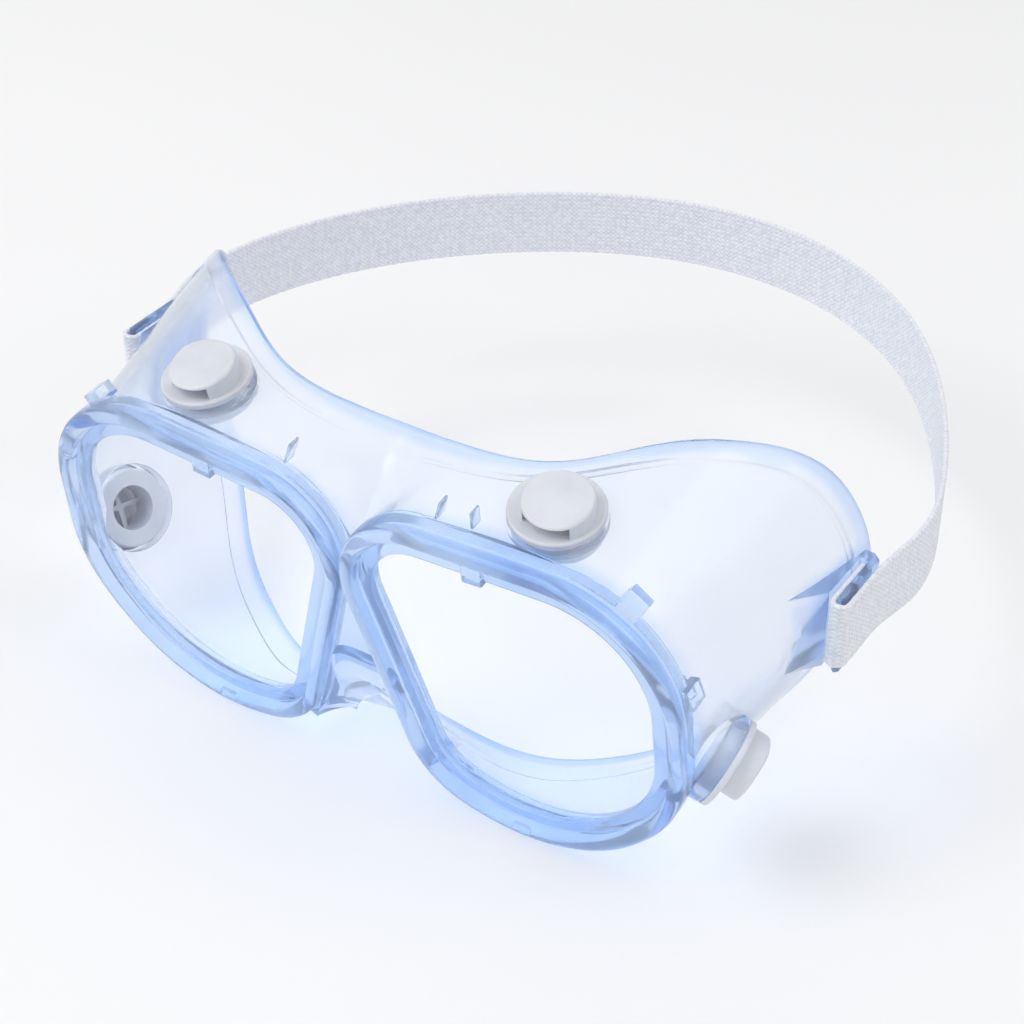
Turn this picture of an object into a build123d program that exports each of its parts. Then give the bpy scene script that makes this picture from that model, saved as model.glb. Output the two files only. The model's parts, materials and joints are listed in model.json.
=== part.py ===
from build123d import *
import os
from math import cos, hypot, radians, sin

# Safety goggles with two separate lenses: a soft clear face piece, two rigid lenses, four
# indirect ventilators that turn in their seats, and an elastic headband looped on side lugs.
#
# Millimetres. +X is the wearer's left, +Y runs from the lenses back to the head, +Z is up.
# Everything is drawn about the bridge, midway between the lens centres, and moved at the end
# so that the origin is at the bottom centre of the whole object.

# ---- driving dimensions -------------------------------------------------------------
BRIDGE_HEIGHT = 39.194     # bridge above the surface that the goggles stand on
BRIDGE_TO_MIDDLE = 74.9    # bridge to the middle of the object's depth
WALL = 2.0                 # soft wall thickness
BIG = 150.0                # larger than half of the object in any direction

# Lenses and their rims
LENS_SPACING = 77.0        # between the two lens centres
LENS_TILT = 7.0            # degrees, tops of the lenses lean forward
LENS_WRAP = 1.5            # degrees, outer sides of the lenses sweep back
LENS_THICK = 2.0
LENS_LAP = 3.0             # how far the lens goes into its groove, all round
GROOVE_GAP = 0.05
LENS_SET_BACK = 1.7        # middle of the lens, behind the bridge
REAR_OPENING = 1.2         # the rim is this much wider open behind the lens
RIM_WIDTH = 7.0            # from the lens opening to the outside of the rim
RIM_STEP = 3.5             # width of the flat lip inside the round bead
RIM_LIFT = 0.6             # the bead sits this much higher than the opening
FOOT_FLAT = 0.15           # depth of the flat on the bottom of the rim
RIM_BACK = 2.6             # back of the rim, behind the lens's middle
LIP_FRONT = 2.4            # front of the flat lip
BEAD_FRONT = 4.2           # front of the bead
BEAD_ROUND = 1.8
TAB_OUT = -8.0             # clip tab over the top of the lens, towards the nose
TAB_SIZE = (5.0, 5.6, 1.6)
TAB_SINK = 0.2             # into the flat lip
NOTCH_OUT = -1.2           # square notch in the bottom of the bead
NOTCH_SIZE = (5.0, 2.6, 1.4)
RIM_FEATURE_LAP = 1.4      # how far the tab and the notch are set in from the step's edge

# Skirt
SKIRT_START = 3.0          # front edge of the skirt, behind the bridge
WEB_FRONT = 2.8            # front web between the rims, behind the bridge
NOSE_LEG = -60.0           # below everything

# Ventilators
FLANGE_RADIUS = 9.3
FLANGE_THICK = 1.3
NECK_RADIUS = 6.4
NECK_BORE = 4.9
NECK_DEPTH = 5.8
SEAT_GAP = 0.1             # running clearance of a ventilator in its soft seat
SEAT_RADIUS = 9.4          # moulded boss under the flange
SEAT_THICK = 3.4
SEAT_ROOT = {"top": 2.8, "side": 6.0}
INNER_RADIUS = 8.6         # retaining ring inside the goggles
INNER_THICK = 1.9
RING_GAP = 0.9             # room in the soft wall round that ring
CAP_RADIUS = 6.9
CAP_SHIFT = (1.0, 1.1)     # the cap is set off the flange's middle, along and across its window
CAP_HEIGHT = 4.4
CAP_RIDGE = -2.0           # the roof starts to fall this far behind the cap's middle
CAP_WALL = 1.0
CAP_ROUND = 0.7
CAP_FALL = 8.0             # degrees, slope of the cap's roof on the window side
WINDOW_WIDTH = 10.0
WINDOW_HEIGHT = 2.8
CROSS_THICK = 1.0          # cross in the plug's bore, which holds the peg
BAFFLE_RADIUS = 4.2
BAFFLE_THICK = 0.8
BAFFLE_LIFT = 1.0          # above the flange
PEG_RADIUS = 1.0

# Headband and its lugs
BAND_WIDTH = 16.5
BAND_END_WIDTH = 15.0      # drawn in where it goes through the lug
BAND_THICK = 1.2
BAND_MIDDLE_Z = 11.6
BAND_SIDE_X = 88.1         # middle of the band's outer layer beside the lug
BAND_TUCK_X = 84.8         # middle of the inner layer, inside the lug
PIVOT_Y = 50.0             # the headband flexes up and down about a line across the goggles
PIVOT_GAP = 0.3
LUG_TOP = 20.6
LUG_BOTTOM = 2.6
LUG_FRONT_Y = 36.5
LUG_REAR_Y = 50.8
PLATE_IN = 85.6            # the lug's outer plate, which the band goes round
PLATE_OUT = 87.3
LUG_INNER_X = 83.8
LUG_ROOT = (79.0, 30.0)    # inside the skirt's wall
LUG_BRIDGE = 1.5           # joins the block to the plate behind the tucked band
LUG_TAIL = 2.2             # the lug runs this much further back on the skirt
SLOT_Y = (43.4, 46.0)      # opening between the plate's front and rear bars
SLOT_MARGIN = 2.5          # above and below the slot
TUCK_END_GAP = 2.0         # the tucked layer stops short of the lug's rear

# Lens opening: corner (outward, up) from the lens centre, and the corner's radius.
LENS_CORNERS = [
    ((28.3, 29.8), 21.0),
    ((-35.3, 27.3), 12.0),
    ((-18.5, -29.8), 13.0),
    ((8.9, -36.1), 30.0),
    ((29.4, -12.8), 26.0),
]

# Left half outlines of the skirt, from top centre round to bottom centre, at four distances
# behind the lenses. Each point is (out, up). The first outline leans with the lenses.
SKIRT_SECTIONS = {
    SKIRT_START: [(0, 19), (9, 32), (24, 35.8), (48, 36.2), (64, 28.5), (73, 12), (73.5, -6),
                  (66, -24), (53, -33.5), (36, -36.5), (0, -25)],
    22.0: [(0, 37.0), (14, 37.6), (34, 39.2), (52, 41.8), (67, 33), (78, 15), (75.5, -6),
           (67.5, -22), (53, -33), (33, -37.6), (0, -37)],
    45.0: [(0, 39.0), (16, 40), (36, 42.4), (56, 48), (70, 38.5), (82.5, 19), (78, -6),
           (68, -22), (53, -33), (33, -38), (0, -38)],
    66.0: [(0, 41), (18, 42), (38, 45.5), (59, 51), (74, 40.5), (85, 20), (80, -5),
           (69, -21), (54, -33), (33, -38), (0, -38)],
}

# Rear edge of the skirt, which follows the face: (out from the middle, back from the lenses).
FACE_PROFILE = [(0, 20.5), (32, 22.5), (45, 28.8), (53, 33.6), (60, 39), (68, 47), (76, 53),
                (86, 54.5)]

# Lower rear edge beside the nose, where the nose flap ends further forward.
NOSE_PROFILE = [(0, 9), (10, 14), (20, 18.5), (32, 22.5)]

# Underside of the nose flap: (distance behind the lenses, half width at the bottom, top).
NOSE_SECTIONS = [(0.0, 20.0, -3.0), (9.0, 25.0, -25.0), (30.0, 31.0, -42.0)]

# Ventilators on the wearer's left: middle of the flange's underside, and the outward axis.
VENT_SEATS = {
    "top": ((40.8, 9.0, 38.9), (0.06, -0.20, 0.98)),
    "side": ((75.2, 15.4, -10.0), (0.88, 0.19, -0.43)),
}
# The direction that each cap's window faces, turned from forward about the ventilator's axis.
WINDOW_TURN = {"top_left": 2.0, "top_right": -4.0, "side_left": 172.0, "side_right": 190.0}

# Middle line of the headband, seen from above, from the left pivot round to the right one.
BAND_ROUTE = [(BAND_SIDE_X, PIVOT_Y), (89.5, 66), (84, 88), (71, 114), (49, 140), (20, 154.5),
              (-12, 154.6), (-48, 137.5), (-77, 108), (-90.0, 80), (-91.2, 62),
              (-BAND_SIDE_X, PIVOT_Y)]


# ---- helpers ------------------------------------------------------------------------
def mirrored(part):
    """Mirror image across the middle plane."""
    return mirror(part, about=Plane.YZ)


def lens_plane():
    """Plane of the wearer's left lens; its local Z points out of the front."""
    wrap = radians(LENS_WRAP)
    tilt = radians(LENS_TILT)
    return Plane(
        origin=(LENS_SPACING / 2, LENS_SET_BACK, 0),
        x_dir=(cos(wrap), sin(wrap), 0),
        z_dir=(sin(wrap) * cos(tilt), -cos(wrap) * cos(tilt), -sin(tilt)),
    )


def lens_outline(grow, lift=0.0):
    """Face of the lens opening, grown outwards on all sides."""
    points = [corner for corner, _ in LENS_CORNERS]
    radii = [radius for _, radius in LENS_CORNERS]
    face = make_face(FilletPolyline(*points, radius=radii, close=True))
    if grow:
        face = offset(face, amount=grow, kind=Kind.ARC)
    return Pos(0, lift) * face


def slab(face, low, high):
    """Solid of a flat face, between two heights in its own frame."""
    return Pos(0, 0, low) * extrude(face, amount=high - low, dir=(0, 0, 1))


def disc(radius, low, high):
    """Round solid about the local Z axis."""
    return slab(Circle(radius), low, high)


def lean(z):
    """How far the tilt of the lenses moves a height back."""
    return -z * sin(radians(LENS_TILT))


# ---- face piece ---------------------------------------------------------------------
def skirt_solid(inset):
    """Left half of the skirt's outside, drawn in by the given distance."""
    faces = []
    for back, half in SKIRT_SECTIONS.items():
        points = []
        for i, (x, z) in enumerate(half):
            before = half[max(i - 1, 0)]
            after = half[min(i + 1, len(half) - 1)]
            run_x, run_z = after[0] - before[0], after[1] - before[1]
            if i in (0, len(half) - 1):
                run_z = 0
            length = hypot(run_x, run_z)
            in_x = x + inset * run_z / length
            in_z = z - inset * run_x / length
            in_y = back + lean(in_z) if back == SKIRT_START else back
            points.append((in_x, in_y, in_z))
        edge = Spline(*points)
        faces.append(make_face([edge, Line(points[-1], points[0])]))
    return loft(faces)


def in_front_of(profile):
    """Everything on the left in front of a rear edge that is drawn from above."""
    end_x, end_y = profile[-1]
    edge = Spline(*profile)
    rest = Polyline((end_x, end_y), (BIG, end_y), (BIG, -BIG), (0, -BIG), profile[0])
    return slab(make_face([edge, rest]), -BIG, BIG)


def nose_arch(grow):
    """Solid under the nose flap, grown by a wall thickness."""
    faces = []
    for back, half, top in NOSE_SECTIONS:
        width = half + grow
        crest = top + grow
        legs = FilletPolyline((-width, NOSE_LEG), (-width * 0.36, crest), (width * 0.36, crest),
                              (width, NOSE_LEG), radius=width * 0.32)
        base = Line((width, NOSE_LEG), (-width, NOSE_LEG))
        plane = Plane(origin=(0, back, 0), x_dir=(1, 0, 0), z_dir=(0, -1, 0))
        faces.append(plane * make_face([legs, base]))
    return loft(faces)


def rim():
    """Rim of the left lens: round bead, flat lip, lens groove, clip tab and notch."""
    ring = slab(lens_outline(RIM_WIDTH, RIM_LIFT), -RIM_BACK, BEAD_FRONT)
    ring = fillet(ring.faces().sort_by(Axis.Z)[-1].edges(), BEAD_ROUND)
    ring -= slab(lens_outline(RIM_STEP), LIP_FRONT, BEAD_FRONT + 1)
    ring -= slab(lens_outline(0), -RIM_BACK - 1, BEAD_FRONT + 1)
    ring -= slab(lens_outline(REAR_OPENING), -RIM_BACK - 1, 0)
    foot = ring.bounding_box().min.Y + FOOT_FLAT
    ring -= Pos(0, foot - BIG / 2) * Box(2 * BIG, BIG, BIG)
    top = max(corner[1] for corner, _ in LENS_CORNERS)
    bottom = min(corner[1] for corner, _ in LENS_CORNERS)
    tab_height = LIP_FRONT + TAB_SIZE[2] / 2 - TAB_SINK
    ring += Pos(TAB_OUT, top + RIM_FEATURE_LAP, tab_height) * Box(*TAB_SIZE)
    ring -= Pos(NOTCH_OUT, bottom - RIM_STEP - RIM_FEATURE_LAP, BEAD_FRONT) * Box(*NOTCH_SIZE)
    half_groove = LENS_THICK / 2 + GROOVE_GAP
    ring -= slab(lens_outline(LENS_LAP + GROOVE_GAP), -half_groove, half_groove)
    return lens_plane() * ring


def web(outside):
    """Front wall between the two rims, leaning with the lenses."""
    plane = Plane(origin=(0, 0, 0), x_dir=(1, 0, 0),
                  z_dir=(0, -cos(radians(LENS_TILT)), -sin(radians(LENS_TILT))))
    sheet = plane * Pos(0, 0, -WEB_FRONT - WALL / 2) * Box(2 * BIG, 2 * BIG, WALL)
    return (sheet & outside) - lens_plane() * slab(lens_outline(RIM_STEP), -RIM_WIDTH, RIM_WIDTH)


def lug():
    """Left lug: a block on the skirt and a plate hooked forward, with a slot in it."""
    tip = (PLATE_OUT - PLATE_IN) / 2
    bridge_y = LUG_REAR_Y - LUG_BRIDGE
    root_x, root_y = LUG_ROOT
    block = Polyline(LUG_ROOT, (LUG_INNER_X, LUG_FRONT_Y), (LUG_INNER_X, bridge_y),
                     (PLATE_IN, bridge_y), (PLATE_IN, LUG_FRONT_Y))
    nose = ThreePointArc((PLATE_IN, LUG_FRONT_Y), (PLATE_IN + tip, LUG_FRONT_Y - tip),
                         (PLATE_OUT, LUG_FRONT_Y))
    tail_y = LUG_REAR_Y + LUG_TAIL
    back = Polyline((PLATE_OUT, LUG_FRONT_Y), (PLATE_OUT, LUG_REAR_Y),
                    (PLATE_IN, tail_y - tip), (root_x, tail_y), LUG_ROOT)
    solid = slab(make_face([block, nose, back]), LUG_BOTTOM, LUG_TOP)
    slot_height = LUG_TOP - LUG_BOTTOM - 2 * SLOT_MARGIN
    slot = Box(4 * tip, SLOT_Y[1] - SLOT_Y[0], slot_height)
    slot_y = (SLOT_Y[0] + SLOT_Y[1]) / 2
    return solid - Pos((PLATE_IN + PLATE_OUT) / 2, slot_y, (LUG_TOP + LUG_BOTTOM) / 2) * slot


def vent_plane(place):
    """Plane of a left ventilator: its local Z is the ventilator's axis, pointing out."""
    point, axis = VENT_SEATS[place]
    forward = Vector(0, -1, 0)
    normal = Vector(*axis).normalized()
    x_dir = forward - normal * forward.dot(normal)
    return Plane(origin=point, x_dir=x_dir, z_dir=normal)


def face_piece():
    """The whole soft moulding."""
    outside = skirt_solid(0.0)
    arch = nose_arch(0.0)
    wall = ((outside - skirt_solid(WALL)) & in_front_of(FACE_PROFILE)) - arch
    flap = ((nose_arch(WALL) - arch) & outside) & in_front_of(NOSE_PROFILE)
    half = wall + flap + (web(outside) - arch)
    half += lug() - skirt_solid(WALL)
    half += rim()
    for place in VENT_SEATS:
        plane = vent_plane(place)
        half += plane * disc(SEAT_RADIUS, -SEAT_ROOT[place], -SEAT_GAP)
        half -= plane * disc(SEAT_RADIUS, -SEAT_GAP, 2 * FLANGE_THICK)
        half -= plane * disc(INNER_RADIUS + RING_GAP, -2 * NECK_DEPTH, -SEAT_THICK)
        half -= plane * disc(NECK_RADIUS + SEAT_GAP, -2 * NECK_DEPTH, FLANGE_THICK)
    half &= Pos(BIG / 2, 0, 0) * Box(BIG, 2 * BIG, 2 * BIG)
    return half + mirrored(half)


# ---- ventilators --------------------------------------------------------------------
def vent_seat():
    """Flanged plug with a hollow neck, a cross in its bore and a peg for the baffle."""
    plug = disc(FLANGE_RADIUS, 0, FLANGE_THICK) + disc(NECK_RADIUS, -NECK_DEPTH, FLANGE_THICK)
    plug = fillet(plug.edges().filter_by(GeomType.CIRCLE).sort_by(Axis.Z)[-1], 0.5)
    plug -= disc(NECK_BORE, -NECK_DEPTH - 1, FLANGE_THICK + 1)
    bar = Pos(0, 0, CROSS_THICK / 2) * Box(2 * NECK_BORE + WALL / 4, CROSS_THICK, CROSS_THICK)
    plug += bar + Rot(0, 0, 90) * bar
    plug += disc(PEG_RADIUS, 0, FLANGE_THICK + BAFFLE_LIFT)
    return plug


def vent_baffle():
    """Splash disc on the plug's peg, under the cap."""
    low = FLANGE_THICK + BAFFLE_LIFT
    plate = disc(BAFFLE_RADIUS, low, low + BAFFLE_THICK)
    return fillet(plate.edges().sort_by(Axis.Z)[-1], 0.3)


def cap_body(radius, height):
    """Round block with a roof that falls from a ridge towards the window."""
    span = 4 * CAP_RADIUS
    body = disc(radius, 0, height)
    slope = Rot(0, CAP_FALL, 0) * Pos(span / 2, 0, span / 2) * Box(span, span, span)
    return body - Pos(CAP_RIDGE, 0, height) * slope


def vent_cap():
    """Hooded cap with one side window under the low side of its roof."""
    hood = cap_body(CAP_RADIUS, CAP_HEIGHT)
    rim_edges = hood.faces().sort_by(Axis.Z)[-2:].edges().filter_by(GeomType.LINE, reverse=True)
    hood = fillet(rim_edges, CAP_ROUND)
    hollow = cap_body(CAP_RADIUS - CAP_WALL, CAP_HEIGHT - CAP_WALL)
    window = Pos(CAP_RADIUS, 0, WINDOW_HEIGHT / 2) * Box(CAP_RADIUS, WINDOW_WIDTH, WINDOW_HEIGHT)
    return Pos(*CAP_SHIFT, FLANGE_THICK) * (hood - hollow - window)


def vent_ring():
    """Ring that holds the plug from inside the goggles."""
    low = -NECK_DEPTH
    ring = disc(INNER_RADIUS, low, low + INNER_THICK)
    ring = fillet(ring.edges().sort_by(Axis.Z)[0], 0.6)
    return ring - disc(NECK_RADIUS, low - 1, 1)


# ---- headband -----------------------------------------------------------------------
def strip(path, width):
    """Elastic strip standing on edge along a path from above; a narrow one keeps its top."""
    top = BAND_MIDDLE_Z + BAND_WIDTH / 2
    return slab(trace(path, line_width=BAND_THICK), top - width, top)


def pivot_disc(radius):
    """Round solid about the line that the band flexes on."""
    return Pos(0, PIVOT_Y, BAND_MIDDLE_Z) * Rot(0, 90, 0) * Cylinder(radius, 2 * BIG)


def strap_end():
    """Left end of the band: outer layer, fold round the lug's plate, tucked inner layer."""
    middle = (BAND_SIDE_X + BAND_TUCK_X) / 2
    bend = (BAND_SIDE_X - BAND_TUCK_X) / 2
    reach = PIVOT_Y + BAND_WIDTH / 2
    outer = Line((BAND_SIDE_X, reach), (BAND_SIDE_X, LUG_FRONT_Y))
    fold = ThreePointArc((BAND_SIDE_X, LUG_FRONT_Y), (middle, LUG_FRONT_Y - bend),
                         (BAND_TUCK_X, LUG_FRONT_Y))
    inner = Line((BAND_TUCK_X, LUG_FRONT_Y), (BAND_TUCK_X, LUG_REAR_Y - TUCK_END_GAP))
    front = Pos(0, PIVOT_Y - BIG / 2, 0) * Box(2 * BIG, BIG, 2 * BIG)
    return strip([outer, fold, inner], BAND_END_WIDTH) & (front + pivot_disc(BAND_WIDTH / 2))


def strap_band():
    """The long free part of the band, with hollow ends round the pivot."""
    free = strip(Spline(*BAND_ROUTE), BAND_WIDTH)
    return free - pivot_disc(BAND_WIDTH / 2 + PIVOT_GAP)


# ---- the named pieces ---------------------------------------------------------------
nodes = {"face_piece": face_piece()}
lens = lens_plane() * slab(lens_outline(LENS_LAP), -LENS_THICK / 2, LENS_THICK / 2)
nodes["lens_left"] = lens
nodes["lens_right"] = mirrored(lens)
for place in VENT_SEATS:
    left = vent_plane(place)
    right = Plane(
        origin=(-left.origin.X, left.origin.Y, left.origin.Z),
        x_dir=(-left.x_dir.X, left.x_dir.Y, left.x_dir.Z),
        z_dir=(-left.z_dir.X, left.z_dir.Y, left.z_dir.Z),
    )
    for side, plane in (("left", left), ("right", right)):
        name = f"vent_{place}_{side}"
        turned = plane * Rot(0, 0, WINDOW_TURN[f"{place}_{side}"])
        nodes[name + "_cap"] = turned * vent_cap()
        nodes[name + "_baffle"] = turned * vent_baffle()
        nodes[name + "_plug"] = turned * vent_seat()
        nodes[name + "_ring"] = turned * vent_ring()
end = strap_end()
nodes["strap_end_left"] = end
nodes["strap_end_right"] = mirrored(end)
nodes["strap_band"] = strap_band()

os.makedirs("parts", exist_ok=True)
stand = Pos(0, -BRIDGE_TO_MIDDLE, BRIDGE_HEIGHT)
for name, shape in nodes.items():
    export_step(stand * shape, f"parts/{name}.step")
whole = Compound(children=[stand * shape for shape in nodes.values()]).bounding_box()
print("size", whole.size, "low", whole.min, "high", whole.max)
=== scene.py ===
import json
from math import atan2, cos, degrees, hypot, pi, radians, sin, tan

import bmesh
import bpy
import numpy as np
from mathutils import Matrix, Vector


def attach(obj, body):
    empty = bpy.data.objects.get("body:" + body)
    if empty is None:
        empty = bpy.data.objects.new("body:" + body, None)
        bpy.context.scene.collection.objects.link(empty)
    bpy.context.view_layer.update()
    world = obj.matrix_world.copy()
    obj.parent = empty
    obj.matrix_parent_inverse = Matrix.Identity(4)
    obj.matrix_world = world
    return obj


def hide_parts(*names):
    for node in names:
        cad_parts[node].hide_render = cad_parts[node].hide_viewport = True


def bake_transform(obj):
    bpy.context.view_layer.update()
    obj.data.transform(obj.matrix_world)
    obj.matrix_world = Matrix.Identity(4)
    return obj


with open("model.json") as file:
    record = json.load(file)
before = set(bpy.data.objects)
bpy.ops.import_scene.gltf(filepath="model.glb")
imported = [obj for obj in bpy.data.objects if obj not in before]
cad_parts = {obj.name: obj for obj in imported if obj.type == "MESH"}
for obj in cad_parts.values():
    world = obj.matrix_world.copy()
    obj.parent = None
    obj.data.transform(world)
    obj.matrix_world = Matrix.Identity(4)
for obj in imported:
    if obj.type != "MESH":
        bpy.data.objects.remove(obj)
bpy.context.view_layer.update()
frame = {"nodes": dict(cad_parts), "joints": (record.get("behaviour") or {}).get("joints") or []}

# Safety goggles: detailed soft clear face piece, lenses and woven headband round the CAD frame.
# All shapes are drawn in millimetres about the bridge, midway between the two lens centres.
MM = 0.001
JOINTS = {joint["name"]: joint for joint in frame["joints"]}
PIVOT_Y = 50.0             # line across the goggles that the headband flexes on
BAND_MIDDLE_Z = 11.6       # middle of the band's width, against the bridge
BRIDGE = np.array(JOINTS["headband_swing"]["pos_m"]) / MM - (0, PIVOT_Y, BAND_MIDDLE_Z)

# Camera, as seen from the bridge
CAMERA_AZIMUTH = 33.1
CAMERA_ELEVATION = 36.44
CAMERA_PLACE = np.array((215.3, -273.7, 284.1))
CAMERA_LENS = 79.8

# Lenses and rims
LENS_SPACING = 77.0
LENS_TILT = radians(7.0)
LENS_WRAP = radians(1.5)
LENS_CORNERS = [
    ((28.3, 29.8), 21.0),
    ((-35.3, 27.3), 12.0),
    ((-18.5, -29.8), 13.0),
    ((8.9, -36.1), 30.0),
    ((29.4, -12.8), 26.0),
]
LENS_LAP = 3.0             # how far the lens goes into its groove
LENS_HALF = 1.0            # half of the lens's thickness
LENS_CHAMFER = 0.3
GROOVE_GAP = 0.05
LENS_SET_BACK = 1.7        # middle of the lens, behind the bridge
REAR_OPENING = 1.2         # the rim is this much wider open behind the lens
RIM_WIDTH = 7.0            # from the lens opening to the outside of the rim
RIM_STEP = 3.5             # width of the flat lip inside the bead
RIM_LIFT = 0.6             # the bead sits this much higher than the opening
RIM_BACK = 2.6             # back of the rim, behind the lens's middle
WEB_FRONT = 2.8            # front wall between the rims, behind the bridge
WEB_OVERLAP = 4.6          # the web ends this far outside a lens opening, under the rim
WEB_TOP_END = 2.2          # the web's top follows the skirt this far, counted in its points
WEB_TURN = (100, 224)      # directions of the rim's outline that the web follows, in degrees

# Small blocks on the rims, in lens coordinates: middle (outwards, up), width, length, angle from
# upright in degrees, and how far behind and in front of the lens they reach
CLIP_TAB = ((-7.2, 31.2), 4.4, 6.0, 3.0, (1.05, 3.7))
RIM_PADS = {
    1: [((23.5, 32.3), 4.6, 5.0, -38, (-4.4, 0.9)), ((34.1, 14.8), 4.6, 4.6, -74, (-4.4, 0.3))],
    -1: [((23.3, 32.0), 4.6, 3.8, -38, (-4.4, 0.3)), ((34.1, 14.8), 4.6, 4.6, -74, (-4.4, 0.3))],
}
BLOCK_ROUND = 0.3          # rounded edge of a block
RIM_FINS = {
    1: [((-17.2, 37.4), 0.5, 4.8, -16, (-4.8, -2.0)), ((-9.8, 38.2), 0.5, 3.8, 0, (-4.8, -2.0))],
    -1: [((-25.4, 37.2), 0.5, 6.0, 22, (-4.8, -2.0))],
}
RIM_NOTCH = ((-1.0, -36.6), 4.1, 2.4, 0, (2.9, 6.0))

# Skirt: left half outlines from top centre round to bottom centre, at distances behind the lenses
WALL = 2.0
SKIRT_START = 3.0
SKIRT_POINTS = 110         # points round half of the skirt
SKIRT_ROWS = 240           # points from its front to its rear
SKIRT_SECTIONS = {
    SKIRT_START: [(0, 19), (9, 32), (24, 35.8), (48, 36.2), (64, 28.5), (73, 12), (73.5, -6),
                  (66, -24), (53, -33.5), (36, -36.5), (0, -25)],
    22.0: [(0, 37.0), (14, 37.6), (34, 39.2), (52, 41.8), (67, 33), (78, 15), (75.5, -6),
           (67.5, -22), (53, -33), (33, -37.6), (0, -37)],
    45.0: [(0, 39.0), (16, 40), (36, 42.4), (56, 48), (70, 38.5), (82.5, 19), (78, -6),
           (68, -22), (53, -33), (33, -38), (0, -38)],
    66.0: [(0, 41), (18, 42), (38, 45.5), (59, 51), (74, 40.5), (85, 20), (80, -5),
           (69, -21), (54, -33), (33, -38), (0, -38)],
}
FACE_PROFILE = [(0, 20.5), (32, 22.5), (45, 28.8), (53, 33.6), (60, 39), (68, 47), (76, 53),
                (86, 54.5)]
FACE_MIDDLE = (0, 0, 5.0)
NOSE_PROFILE = [(0, 9), (10, 14), (20, 18.5), (32, 22.5)]
NOSE_SECTIONS = [(0.0, 20.0, -3.0), (9.0, 25.0, -25.0), (30.0, 31.0, -42.0)]
NOSE_LEG = -60.0           # below everything
ARCH_SHOULDER = 0.36       # half width of the arch's top, as a share of its half width below
ARCH_ROUND = 0.32          # radius of its shoulders, as a share of the same
FLAP_FOOT = (-31.5, -36.8)  # height of the nose flap's foot, at the front and further back
FLAP_FOOT_BACK = 22        # where it reaches the second height
FLAP_BACK = 27             # behind the flap's rear edge
FLAP_POINTS = 60
FLAP_RAISE = 0.15
LIP_WIDTH = 5.4            # paler band along the skirt's rear edge
LIP_RAISE = 0.35
LIP_STEP = 0.5             # length of the slope up to the lip
EDGE_BAND = 1.3            # deeper blue along the very edge
EDGE_FADE = 0.4            # length over which that blue comes in

# Ventilator seats
SEAT_RADIUS = 9.4          # moulded boss under a ventilator's flange
SEAT_DEPTH = {"top": 2.8, "side": 6.0}
SEAT_GAP = 0.1
SEAT_CLEAR = 3.0           # height cleared above the boss
NECK_HOLE = 6.5
RECESS_RADIUS = 9.5        # room inside the goggles for the ventilator's ring
RECESS_START = 3.4
DEEP = 11.6                # deeper than any wall under a seat

# Lugs and headband
LUG_TOP = 20.6
LUG_BOTTOM = 2.6
LUG_TINT = 0.75            # share of the deeper blue on a lug
LUG_TINT_X, LUG_TINT_Y, LUG_TINT_HALF = 79.5, 30.0, 9.4
LUG_ROUND = 0.35
LUG_PLAN = [(76.0, 26.0), (83.8, 36.5), (83.8, 49.3), (85.6, 49.3), (85.6, 36.5), (86.45, 35.7),
            (87.3, 36.5), (87.3, 50.8), (85.6, 52.2), (76.0, 53.6)]
SLOT_BOX = ((84.6, 43.4, 5.1), (88.3, 46.0, 18.1))
BAND_WIDTH = 16.5
BAND_THICK = 1.15
BAND_SIDE_X = 88.1         # middle of the outer layer beside the lug
BAND_TUCK_X = 84.8         # middle of the inner layer, inside the lug
BAND_FRONT_Y = 36.5        # where the band starts to fold round the lug's plate
BAND_TUCK_END = 48.8
BAND_RIBS = 15
RIB_DEPTH = 0.09
BAND_EDGE = 0.3            # the band thins over this much of its thickness at the edges
BAND_EDGE_IN = 0.08
BAND_BORDER = 0.35         # plain border outside the ribs
SCALLOP = 0.07             # waviness of the edges
SCALLOP_PITCH = 2.4
BAND_DRAWN_IN = 1.5        # the lower edge rises this much where the band goes through a lug
BAND_FREE_Y = 66.0         # it is at its full width from here on
BAND_FREE_RUN = 20.0
BAND_STEP = 0.6            # length of one piece of the mesh along the band
BAND_BEND = 10.0           # reach on each side of the swing line
BAND_ROUTE = [(88.1, 42), (88.1, 50), (89.5, 66), (84, 88), (71, 114), (49, 140), (20, 154.5),
              (-12, 154.6), (-48, 137.5), (-77, 108), (-90.0, 80), (-91.2, 62), (-88.1, 50),
              (-88.1, 42)]


# ---- curves -------------------------------------------------------------------------
def spline(points, at):
    """Natural cubic spline through points, read at places counted in points from 0."""
    points = np.asarray(points, float)
    count = len(points)
    knots = np.concatenate([[0], np.cumsum(np.linalg.norm(np.diff(points, axis=0), axis=1))])
    gaps = np.diff(knots)
    matrix = np.eye(count)
    right = np.zeros_like(points)
    for i in range(1, count - 1):
        matrix[i, i - 1:i + 2] = gaps[i - 1], 2 * (gaps[i - 1] + gaps[i]), gaps[i]
        right[i] = 6 * ((points[i + 1] - points[i]) / gaps[i]
                        - (points[i] - points[i - 1]) / gaps[i - 1])
    bend = np.linalg.solve(matrix, right)
    at = np.asarray(at, float)
    low = np.clip(at.astype(int), 0, count - 2)
    share = (at - low)[:, None]
    gap = gaps[low][:, None]
    cubic = (gap ** 2 / 6) * ((share ** 3 - share) * bend[low + 1]
                              + ((1 - share) ** 3 - (1 - share)) * bend[low])
    return points[low] * (1 - share) + points[low + 1] * share + cubic


def profile_depth(profile, x):
    """How far back a rear edge is, at distances from the middle plane."""
    dense = spline(profile, np.linspace(0, len(profile) - 1, 400))
    return np.interp(np.abs(x), dense[:, 0], dense[:, 1])


def unit(v):
    """Vectors of length one."""
    return v / np.linalg.norm(v, axis=-1, keepdims=True)


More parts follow.
